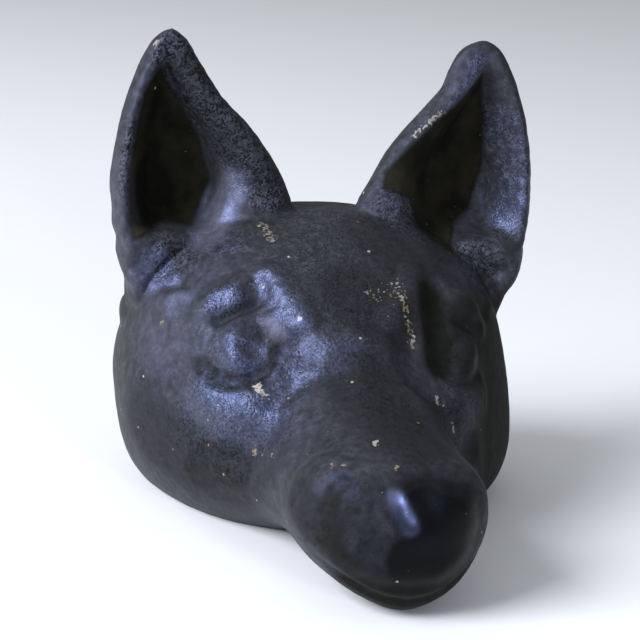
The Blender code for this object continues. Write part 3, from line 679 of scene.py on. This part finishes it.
def roughen(obj):
    """Gives the skin the flat lumps of a sand casting, low on smooth places and higher on coarse ones."""
    points, normals = vertex_arrays(obj.data)
    coarse = zone(points, COARSE)
    broad, small = np.array([
        (noise.noise(p * BROAD_LUMPS), noise.noise(p * SMALL_LUMPS + SHIFTED)) for p in map(Vector, points)
    ]).T
    # in mm
    rise = broad * (0.10 + 0.30 * coarse) + small * (0.04 + 0.42 * coarse)
    points += normals * (rise * MM)[:, None]
    move_points(obj.data, points)


# The hollow and the way the two shells are held together
CORE_START_Y = -0.034  # foremost point of the hollow: the muzzle is cast solid
CORE_BACK_WALL = 0.007  # wall at the nape
# In mm: lengths over which its front and its rear end round off, and its widest line above the skull's
CORE_NOSE_ROUND, CORE_NAPE_ROUND, CORE_WAIST_UP = 9.0, 7.0, 3
# In mm: behind this y the hollow opens through the floor, down to this height
CORE_OPEN_Y, CORE_OPEN_Z = 24, -6
CORE_SQUARENESS = 2.2, 2.4
CORE_WALL = [(-34, 10), (-20, 10.5), (0, 10), (25, 8), (67.5, 6)]
CORE_FLOOR = [(-34, 9), (-10, 8), (0, 5.5), (10, 3), (24, -1), (67.5, -2)]
SCREW_Z = 0.05
SCREW_RADIUS = 0.0028
SCREW_HEAD_RADIUS = 0.0056
SCREW_HEAD_TALL = 0.0034
SPOTFACE_DEEP = 0.0055  # recess for the screw head
THREAD_LONG = 0.019  # length of screw in the front shell
DRILL_PAST = 0.0018  # depth of the blind hole past the screw's end
BOSS_RADIUS = 0.0075
BOSS_LONG = 0.025  # boss in front of the joint
WEB_THICK = 0.0055
WEB_SUNK = 0.005  # how far below the crown the web ends
SLOT_WIDE = 0.0014
SLOT_DEEP = 0.0017


def core_form():
    """The sand core that leaves the head hollow: the skull drawn in by its wall, open through the floor."""
    core_end = NAPE_Y - CORE_BACK_WALL
    rings = []
    for share in closer_at_ends(40):
        y = (CORE_START_Y + (core_end - CORE_START_Y) * share) / MM
        wall, floor_wall, side, crown, throat, waist = [
            float(smooth_curve(line, y))
            for line in (CORE_WALL, CORE_FLOOR, SIDE_LINE, CROWN_LINE, THROAT_LINE, WAIST_LINE)
        ]
        waist += CORE_WAIST_UP
        end = min((y - CORE_START_Y / MM) / CORE_NOSE_ROUND, (core_end / MM - y) / CORE_NAPE_ROUND, 1.0)
        # the ends stay a twentieth as wide, so that they close on a small face
        swell = math.sqrt(max(1 - (1 - end) ** 2, 0.0025))
        half = (side - wall) * swell
        top = waist + (crown - wall - waist) * swell
        floor = waist + (throat + floor_wall - waist) * swell
        if y > CORE_OPEN_Y:
            floor = min(floor, CORE_OPEN_Z)
        ring = []
        for k in range(ROUND_SIDES):
            angle = 2 * math.pi * k / ROUND_SIDES
            x, z = superellipse(angle, max(half, 1), top - waist, waist - floor, waist, *CORE_SQUARENESS)
            ring.append(Vector((x, y, z)) * MM)
        rings.append(ring)
    return loft("core", rings)


def block(name, low, high):
    """A box between two corners."""
    bm = bmesh.new()
    bmesh.ops.create_cube(bm, size=1.0)
    low, high = Vector(low), Vector(high)
    for v in bm.verts:
        v.co = Vector([low[i] + (v.co[i] + 0.5) * (high[i] - low[i]) for i in range(3)])
    return mesh_object(name, bm)


def rod(name, radius, y0, y1, z):
    """A cylinder along Y."""
    bm = bmesh.new()
    bmesh.ops.create_cone(
        bm, cap_ends=True, segments=ROUND_SIDES, radius1=radius, radius2=radius, depth=y1 - y0,
    )
    turn = Matrix.Translation((0, (y0 + y1) / 2, z)) @ Matrix.Rotation(math.pi / 2, 4, "X")
    bmesh.ops.transform(bm, matrix=turn, verts=bm.verts)
    return mesh_object(name, bm)


def shape_with(obj, tool, operation):
    """Applies one Boolean and removes its tool."""
    step = obj.modifiers.new("shape", "BOOLEAN")
    step.operation = operation
    step.solver = "MANIFOLD"
    step.object = tool
    finished(obj)
    bpy.data.objects.remove(tool)


def copied(obj, name):
    """A second object with a mesh of its own."""
    new = bpy.data.objects.new(name, obj.data.copy())
    bpy.context.scene.collection.objects.link(new)
    return new


def castings():
    """The front and the rear shell, cut from one head."""
    front = unite([skull_form(), ear_form(1), ear_form(-1)], "front_shell", SKIN_CELL)
    relax(front, rounds=30)
    sculpt(front)
    nose_pad(front)
    lean(front)
    relax(front, rounds=2)
    centre(front)
    roughen(front)

    boss_start = PARTING_Y - BOSS_LONG
    spotface_y = NAPE_Y - SPOTFACE_DEEP
    screw_end = PARTING_Y - THREAD_LONG
    web_end = PARTING_Y + JOINT_GAP
    web_top = float(smooth_curve(CROWN_LINE, web_end / MM)) * MM - WEB_SUNK
    shape_with(front, core_form(), "DIFFERENCE")
    web = block("web", (-WEB_THICK / 2, boss_start, SCREW_Z), (WEB_THICK / 2, web_end, web_top))
    shape_with(front, web, "UNION")
    shape_with(front, rod("boss", BOSS_RADIUS, boss_start, NAPE_Y - CORE_BACK_WALL / 2, SCREW_Z), "UNION")
    shape_with(front, block("floor_cut", (-FAR, -FAR, -FAR), (FAR, FAR, 0)), "DIFFERENCE")
    hole = rod("hole", SCREW_RADIUS + JOINT_GAP, screw_end - DRILL_PAST, NAPE_Y + SPOTFACE_DEEP, SCREW_Z)
    shape_with(front, hole, "DIFFERENCE")
    spotface_radius = SCREW_HEAD_RADIUS + 3 * JOINT_GAP
    spotface = rod("spotface", spotface_radius, spotface_y, NAPE_Y + 2 * SPOTFACE_DEEP, SCREW_Z)
    shape_with(front, spotface, "DIFFERENCE")

    rear = copied(front, "rear_shell")
    half_gap = JOINT_GAP / 2
    shape_with(front, block("front_half", (-FAR, -FAR, -FAR), (FAR, PARTING_Y - half_gap, FAR)), "INTERSECT")
    shape_with(rear, block("rear_half", (-FAR, PARTING_Y + half_gap, -FAR), (FAR, FAR, FAR)), "INTERSECT")
    return front, rear


# Chamfer at the screw's point, inwards and along; rounding of its head: (share of its radius, height)
POINT_IN, POINT_LONG = 0.0008, 0.0009
HEAD_ROUNDING = [(1.0, 0.0012), (0.97, 0.0017), (0.86, 0.0023), (0.5, 0.00315), (0.0, 0.0034)]


def screw_piece():
    """Slotted cheese-head screw, turned about its axis."""
    seat = NAPE_Y - SPOTFACE_DEEP + JOINT_GAP
    point_y = PARTING_Y - THREAD_LONG
    top_y = seat + SCREW_HEAD_TALL
    profile = [
        (0, point_y), (SCREW_RADIUS - POINT_IN, point_y), (SCREW_RADIUS, point_y + POINT_LONG),
        (SCREW_RADIUS, seat), (SCREW_HEAD_RADIUS, seat),
    ] + [(SCREW_HEAD_RADIUS * share, seat + height) for share, height in HEAD_ROUNDING]
    bm = bmesh.new()
    verts = [bm.verts.new((radius, y, SCREW_Z)) for radius, y in profile]
    edges = [bm.edges.new(pair) for pair in zip(verts, verts[1:])]
    bmesh.ops.spin(
        bm, geom=verts + edges, axis=(0, 1, 0), cent=(0, 0, SCREW_Z), angle=2 * math.pi, steps=ROUND_SIDES,
    )
    bmesh.ops.remove_doubles(bm, verts=bm.verts, dist=1e-6)
    bmesh.ops.recalc_face_normals(bm, faces=bm.faces)
    screw = mesh_object("screw", bm)
    past = 2 * SCREW_HEAD_RADIUS
    slot = block(
        "slot",
        (-past, top_y - SLOT_DEEP, SCREW_Z - SLOT_WIDE / 2),
        (past, top_y + past, SCREW_Z + SLOT_WIDE / 2),
    )
    shape_with(screw, slot, "DIFFERENCE")
    return screw


def keep_finishes(obj):
    """Stores how much of each finish lies at each point, for the iron's material to read."""
    points, normals = vertex_arrays(obj.data)
    for finish, places in FINISHES.items():
        amount = zone(points, places)
        # the pockets of the ears are painted dark as shade, on top of the zones
        if finish == "shade_and_dirt":
            amount = np.maximum(amount, in_pockets(points, normals))
        layer = obj.data.attributes.new(finish, "FLOAT", "POINT")
        layer.data.foreach_set("value", amount.astype(np.float32))


def linear(hex_colour):
    """Linear colour of an sRGB hex value."""
    parts = [int(hex_colour[i:i + 2], 16) / 255 for i in (1, 3, 5)]
    return [c / 12.92 if c <= 0.04045 else ((c + 0.055) / 1.055) ** 2.4 for c in parts] + [1.0]


def add(tree, kind, inputs, output=None, **settings):
    """Adds a node with its settings, and gives each input its value, its hex colour or its link.

    It returns the named output, or the node itself where none is named.
    """
    made = tree.nodes.new(kind)
    for name, value in settings.items():
        setattr(made, name, value)
    for name, value in inputs.items():
        if isinstance(value, bpy.types.NodeSocket):
            tree.links.new(value, made.inputs[name])
        elif isinstance(value, str):
            made.inputs[name].default_value = linear(value)
        else:
            made.inputs[name].default_value = value
    return made.outputs[output] if output else made


def blank_material(name):
    """A material with an empty node tree."""
    material = bpy.data.materials.new(name)
    material.use_nodes = True
    tree = material.node_tree
    tree.nodes.clear()
    return material, tree


def blackened_iron(name, paint_hex, dull):
    """Black japan over sand-cast iron.

    A thin baked varnish that follows the grain of the sand. It gives the eye a dull, dusty grey-black on
    smooth skin, black and grey grains where the skin is coarse, a painted cold bluish sheen on the lit side,
    a painted near-black shade on the glossy nose with a painted highlight along its keel, painted shade with
    brown-black oil in hollows, creases and on the side turned from the light, and pale chips here and there.
    """
    material, tree = blank_material(name)
    place = add(tree, "ShaderNodeTexCoord", {}, "Object")
    coarse_zone, painted_sheen_zone, shade_and_dirt_zone, dusted, shade_and_gloss, flaked, polish_and_highlight = [
        add(tree, "ShaderNodeAttribute", {}, "Fac", attribute_name=finish) for finish in FINISHES
    ]
    sand, flake_edge, mottles, clumps, patches = [
        add(
            tree, "ShaderNodeTexNoise",
            {"Vector": place, "Scale": 1 / size, "Detail": detail, "Roughness": roughness}, "Fac",
        )
        for size, detail, roughness in (
            (0.0008, 1.5, 0.6),  # unevenness of the varnish itself
            (0.001, 1.2, 0.5),  # ragged edges of the flakes
            (0.0018, 3.0, 0.65),  # mottling of the varnish
            (0.003, 2.0, 0.5),  # clumps of sand
            (0.014, 3.0, 0.55),  # where the varnish is thicker or rubbed
        )
    ]
    # grains of moulding sand of 0.3 mm, drawn at 0.6 mm so that they show in the render
    cells = add(tree, "ShaderNodeTexVoronoi", {"Vector": place, "Scale": 1 / 0.0006})
    each_grain = add(tree, "ShaderNodeSeparateColor", {"Color": cells.outputs["Color"]}, "Red")
    # the varnish lifts off in flakes of half a millimetre to two, and in stray dots 4 mm apart
    lifted = add(
        tree, "ShaderNodeMath", {0: flaked, 1: 0.35, 2: flake_edge}, "Value", operation="MULTIPLY_ADD",
    )
    dots = add(tree, "ShaderNodeTexVoronoi", {"Vector": place, "Scale": 1 / 0.004})
    lot = add(tree, "ShaderNodeSeparateColor", {"Color": dots.outputs["Color"]}, "Red")
    chosen = add(tree, "ShaderNodeMath", {0: lot, 1: 0.94}, "Value", operation="GREATER_THAN")
    tips, deepest_shade, silted, rusted, in_flake, in_dot, bared, blotches, flecks = [
        add(
            tree, "ShaderNodeMapRange",
            {"Value": value, "From Min": low, "From Max": high, "To Min": start, "To Max": end}, "Result",
        )
        for value, low, high, start, end in (
            (each_grain, 0.15, 0.85, 0, 1),  # each grain is black, grey or between
            (shade_and_dirt_zone, 0.93, 1.0, 0, 1),  # darkest painted shade with oil, in the pockets of the ears
            (patches, 0.42, 0.66, 0, 1),  # silt in it
            (clumps, 0.42, 0.60, 0, 1),  # rust under the flakes
            (lifted, 0.78, 0.83, 0, 1),  # inside a flake
            (dots.outputs["Distance"], 0.09, 0.13, 1, 0),  # inside a dot
            (flaked, 0.6, 1.0, 0.5, 1),  # how bare the flakes are
            (clumps, 0.35, 0.62, 0.7, 1.15),  # blotches of the whole skin
            (mottles, 0.35, 0.65, 0.78, 1.2),  # flecks of the whole skin
        )
    ]
    # zones end in broken edges, and on the painted shade and dirt the noise counts most where the zone is
    # half on
    broken, patchy = [
        add(tree, "ShaderNodeMath", {0: field, 1: -0.5}, "Value", operation="ADD")
        for field in (clumps, patches)
    ]
    off = add(tree, "ShaderNodeMath", {0: 1.0, 1: shade_and_dirt_zone}, "Value", operation="SUBTRACT")
    half_on = add(tree, "ShaderNodeMath", {0: off, 1: shade_and_dirt_zone}, "Value", operation="MULTIPLY")
    ragged_by = add(tree, "ShaderNodeMath", {0: half_on, 1: broken}, "Value", operation="MULTIPLY")
    coarse, shade_and_dirt, painted_sheen_amount = [
        add(
            tree, "ShaderNodeMath",
            {0: by, 1: much, 2: at}, "Value", operation="MULTIPLY_ADD", use_clamp=True,
        )
        for by, much, at in (
            (broken, 1.6, coarse_zone),
            (ragged_by, 5.0, shade_and_dirt_zone),
            (patchy, 0.7, painted_sheen_zone),
        )
    ]
    # relief: pits between the grains, the varnish and the clumps, nearly smoothed away on the glossy nose
    # with its painted shade
    calm = add(tree, "ShaderNodeMapRange", {"Value": shade_and_gloss, "To Min": 1.0, "To Max": 0.12}, "Result")
    fine = add(tree, "ShaderNodeMath", {0: sand, 1: 0.05}, "Value", operation="MULTIPLY")
    hollows = add(
        tree, "ShaderNodeMath", {0: cells.outputs["Distance"], 1: coarse}, "Value", operation="MULTIPLY",
    )
    grain = add(tree, "ShaderNodeMath", {0: hollows, 1: -0.32, 2: fine}, "Value", operation="MULTIPLY_ADD")
    clump_depth = add(tree, "ShaderNodeMath", {0: coarse, 1: 0.5, 2: 0.10}, "Value", operation="MULTIPLY_ADD")
    uncalmed = add(
        tree, "ShaderNodeMath", {0: clumps, 1: clump_depth, 2: grain}, "Value", operation="MULTIPLY_ADD",
    )
    lumps = add(tree, "ShaderNodeMath", {0: uncalmed, 1: calm}, "Value", operation="MULTIPLY")

    # mottling of the whole skin, silt in the painted shade and oil, flakes and dots, settled dust
    mottling, silt, worn, dotted = [
        add(tree, "ShaderNodeMath", {0: one, 1: other}, "Value", operation="MULTIPLY")
        for one, other in ((blotches, flecks), (deepest_shade, silted), (in_flake, bared), (in_dot, chosen))
    ]
    dust = add(
        tree, "ShaderNodeMath", {0: dusted, 1: blotches}, "Value", operation="MULTIPLY", use_clamp=True,
    )
    chipped = add(tree, "ShaderNodeMath", {0: worn, 1: dotted}, "Value", operation="MAXIMUM")

    dusty, grains, shade_dirt_colour, bare, painted_sheen_colour, speckled, shade_and_oil_shine = [
        add(tree, "ShaderNodeMix", {0: by, "A": low, "B": high}, "Result", data_type="RGBA")
        for by, low, high in (
            (patches, paint_hex, "#222220"),  # smooth varnish, greyed by dust in patches
            (tips, "#121314", "#36373d"),  # coarse grains, black or grey
            (silt, "#11120d", "#242119"),  # brown-black painted shade and oil, with paler silt
            (rusted, "#9a968a", "#73664c"),  # pale primer and rust
            (tips, "#8f9fe0", "#bfccff"),  # painted bluish sheen
            (tips, "#262933", "#a2a8c2"),  # shine of the grains, weak on the black ones
            (deepest_shade, "#35342a", "#282820"),  # weak shine under the painted shade and oil
        )
    ]
    grainy = add(tree, "ShaderNodeMix", {0: coarse, "A": dusty, "B": grains}, "Result", data_type="RGBA")
    # the mottling darkens colour and shine alike
    colour, tint = [
        add(
            tree, "ShaderNodeMix",
            {0: 1.0, "A": below, "B": mottling}, "Result", data_type="RGBA", blend_type="MULTIPLY",
        )
        for below in (grainy, "#787b98")
    ]
    # over the skin lie painted near-black shade on the glossy nose, painted shade with oil, dust and flakes
    for amount, over in ((shade_and_gloss, "#08090a"), (shade_and_dirt, shade_dirt_colour), (dust, "#55565e"), (chipped, bare)):
        colour = add(tree, "ShaderNodeMix", {0: amount, "A": colour, "B": over}, "Result", data_type="RGBA")
    # the shine of smooth skin gives way to that of the grains, to the painted bluish sheen, to the weak shine
    # under painted shade and oil, to the dark glossy nose and to the painted highlight on its keel
    for amount, over in (
        (coarse, speckled), (painted_sheen_amount, painted_sheen_colour), (shade_and_dirt, shade_and_oil_shine), (shade_and_gloss, "#373a3d"), (polish_and_highlight, "#b4c0f0"),
    ):
        tint = add(tree, "ShaderNodeMix", {0: amount, "A": tint, "B": over}, "Result", data_type="RGBA")
    # roughness: dull varnish, smoother under the painted sheen and on the glossy nose, rougher under the
    # painted shade and dirt
    uneven = add(
        tree, "ShaderNodeMapRange",
        {"Value": painted_sheen_amount, "From Max": 0.8, "To Min": dull, "To Max": 0.45}, "Result",
    )
    glossy = add(tree, "ShaderNodeMix", {0: polish_and_highlight, "A": 0.36, "B": 0.22}, "Result")
    rubbed = add(tree, "ShaderNodeMix", {0: shade_and_gloss, "A": uneven, "B": glossy}, "Result")
    rough = add(tree, "ShaderNodeMath", {0: shade_and_dirt, 1: 0.25, 2: rubbed}, "Value", operation="MULTIPLY_ADD")
    relief = add(tree, "ShaderNodeBump", {"Height": lumps, "Distance": 0.0006}, "Normal")
    shader = add(tree, "ShaderNodeBsdfPrincipled", {
        "Base Color": colour,
        "Roughness": rough,
        "IOR": 1.6,
        "Specular IOR Level": 1.0,
        "Specular Tint": tint,
        "Normal": relief,
    }, "BSDF")
    add(tree, "ShaderNodeOutputMaterial", {"Surface": shader})
    return material


def browned_steel(name):
    """Turned mild steel gone brown: a dull grey-brown metal with patches of rust and fine rings."""
    material, tree = blank_material(name)
    place = add(tree, "ShaderNodeTexCoord", {}, "Object")
    # patches of rust, 2 mm across
    patches = add(tree, "ShaderNodeTexNoise", {"Vector": place, "Scale": 1 / 0.002, "Detail": 3.0}, "Fac")
    colour = add(
        tree, "ShaderNodeMix", {0: patches, "A": "#8a857e", "B": "#5a4636"}, "Result", data_type="RGBA",
    )
    rough = add(tree, "ShaderNodeMapRange", {"Value": patches, "To Min": 0.30, "To Max": 0.62}, "Result")
    centred = add(tree, "ShaderNodeMapping", {"Vector": place, "Location": (0, 0, -SCREW_Z)}, "Vector")
    # rings from the lathe about its axis, in step with a feed of 0.1 mm drawn at 0.35 mm so that they show
    rings = add(
        tree, "ShaderNodeTexWave",
        {"Vector": centred, "Scale": 1 / 0.00035 / 6.28, "Distortion": 0.4}, "Fac",
        wave_type="RINGS", rings_direction="Y",
    )
    relief = add(tree, "ShaderNodeBump", {"Height": rings, "Strength": 0.4, "Distance": 0.00003}, "Normal")
    shader = add(tree, "ShaderNodeBsdfPrincipled", {
        "Base Color": colour, "Roughness": rough, "Metallic": 1.0, "Normal": relief,
    }, "BSDF")
    add(tree, "ShaderNodeOutputMaterial", {"Surface": shader})
    return material


def dress(piece, node, material, smooth_below=35):
    """Gives a piece its material, its body and the CAD node that it stands for."""
    mesh = piece.data
    mesh.materials.clear()
    mesh.materials.append(material)
    mesh.shade_smooth()
    mesh.set_sharp_from_angle(angle=math.radians(smooth_below))
    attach(piece, "root")
    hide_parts(node)


def studio_floor():
    """A plain pale floor of paper."""
    bm = bmesh.new()
    bmesh.ops.create_grid(bm, x_segments=1, y_segments=1, size=6.0)
    floor = mesh_object("studio_floor", bm)
    material, tree = blank_material("pale_studio_paper")
    paper = add(tree, "ShaderNodeBsdfPrincipled", {"Base Color": "#ececea", "Roughness": 0.9}, "BSDF")
    add(tree, "ShaderNodeOutputMaterial", {"Surface": paper})
    floor.data.materials.append(material)


def softbox(name, place, aim, wide, tall, watts, hue, tilt=0):
    """A soft rectangular lamp that faces the head, tilted in its own plane by some degrees."""
    lamp = bpy.data.lights.new(name, "AREA")
    lamp.shape = "RECTANGLE"
    lamp.size = wide
    lamp.size_y = tall
    lamp.energy = watts
    lamp.color = linear(hue)[:3]
    obj = bpy.data.objects.new(name, lamp)
    place = Vector(place)
    obj.location = place
    facing = (Vector(aim) - place).to_track_quat("-Z", "Y").to_matrix()
    obj.rotation_euler = (facing @ Matrix.Rotation(math.radians(tilt), 3, "Z")).to_euler()
    bpy.context.scene.collection.objects.link(obj)


def studio_sky():
    """A pale room that is brightest towards the windows on the left and dim on the right."""
    world = bpy.data.worlds.new("studio_sky")
    bpy.context.scene.world = world
    world.use_nodes = True
    tree = world.node_tree
    tree.nodes.clear()
    way = add(tree, "ShaderNodeTexCoord", {}, "Generated")
    windows = add(
        tree, "ShaderNodeVectorMath", {0: way, 1: (-0.58, -0.08, 0.81)}, "Value", operation="DOT_PRODUCT",
    )
    bright = add(tree, "ShaderNodeMapRange", {"Value": windows, "From Min": -0.7, "From Max": 0.9}, "Result")
    room = add(tree, "ShaderNodeMix", {0: bright, "A": "#29291f", "B": "#c6c8cd"}, "Result", data_type="RGBA")
    # the camera itself sees a pale backdrop behind the floor
    seen = add(tree, "ShaderNodeLightPath", {}, "Is Camera Ray")
    colour = add(tree, "ShaderNodeMix", {0: seen, "A": room, "B": "#dfe0e3"}, "Result", data_type="RGBA")
    light = add(tree, "ShaderNodeBackground", {"Color": colour}, "Background")
    add(tree, "ShaderNodeOutputWorld", {"Surface": light})


# Viewpoint read from the photograph, in degrees and metres
YAW, PITCH, ROLL = 13.24, 14.71, 3.71
AIM_OVER = Vector((0, -0.0098, 0.053))
AIM_RIGHT, AIM_UP = -0.00846, 0.01065
DISTANCE = 0.5
FOCAL_PIXELS, FRAME_PIXELS = 1764.2, 640
SENSOR_MM = 36


def photographer():
    """The camera of the photograph: a little above the head, on the dog's right, slightly tilted."""
    yaw, pitch, roll = map(math.radians, (YAW, PITCH, ROLL))
    back = Vector((-math.sin(yaw) * math.cos(pitch), -math.cos(yaw) * math.cos(pitch), math.sin(pitch)))
    level = Vector((math.cos(yaw), -math.sin(yaw), 0))
    upright = back.cross(level)
    right = math.cos(roll) * level + math.sin(roll) * upright
    up = -math.sin(roll) * level + math.cos(roll) * upright
    place = AIM_OVER + right * AIM_RIGHT + up * AIM_UP + back * DISTANCE
    lens = bpy.data.cameras.new("photographer")
    lens.sensor_width = SENSOR_MM
    lens.lens = SENSOR_MM * FOCAL_PIXELS / FRAME_PIXELS
    lens.clip_start = 0.01
    lens.clip_end = 50
    camera = bpy.data.objects.new("photographer", lens)
    turn = Matrix((right, up, back)).transposed().to_4x4()
    camera.matrix_world = Matrix.Translation(place) @ turn
    bpy.context.scene.collection.objects.link(camera)
    bpy.context.scene.camera = camera


front_shell, rear_shell = castings()
front_japan = blackened_iron("black_japan_on_sand_cast_iron", "#2f2f2d", dull=0.60)
rear_japan = blackened_iron("black_japan_on_sand_cast_iron_rear", "#2e2e2c", dull=0.62)
dress(front_shell, "front_casting", front_japan)
dress(rear_shell, "rear_casting", rear_japan)
dress(screw_piece(), "tie_screw", browned_steel("browned_turned_steel"))
keep_finishes(front_shell)
keep_finishes(rear_shell)

studio_floor()
studio_sky()
softbox("window_left", (-1.72, -0.62, 1.22), (0, 0, 0.06), wide=1.2, tall=1.2, watts=84, hue="#ecf1ff")
softbox(
    "strip_right", (0.2, -0.92, 0.36), (0, -0.07, 0.03), wide=0.03, tall=0.15, watts=2.6, hue="#dfe6ff",
    tilt=-20,
)
photographer()
bpy.context.scene.view_settings.view_transform = "Standard"
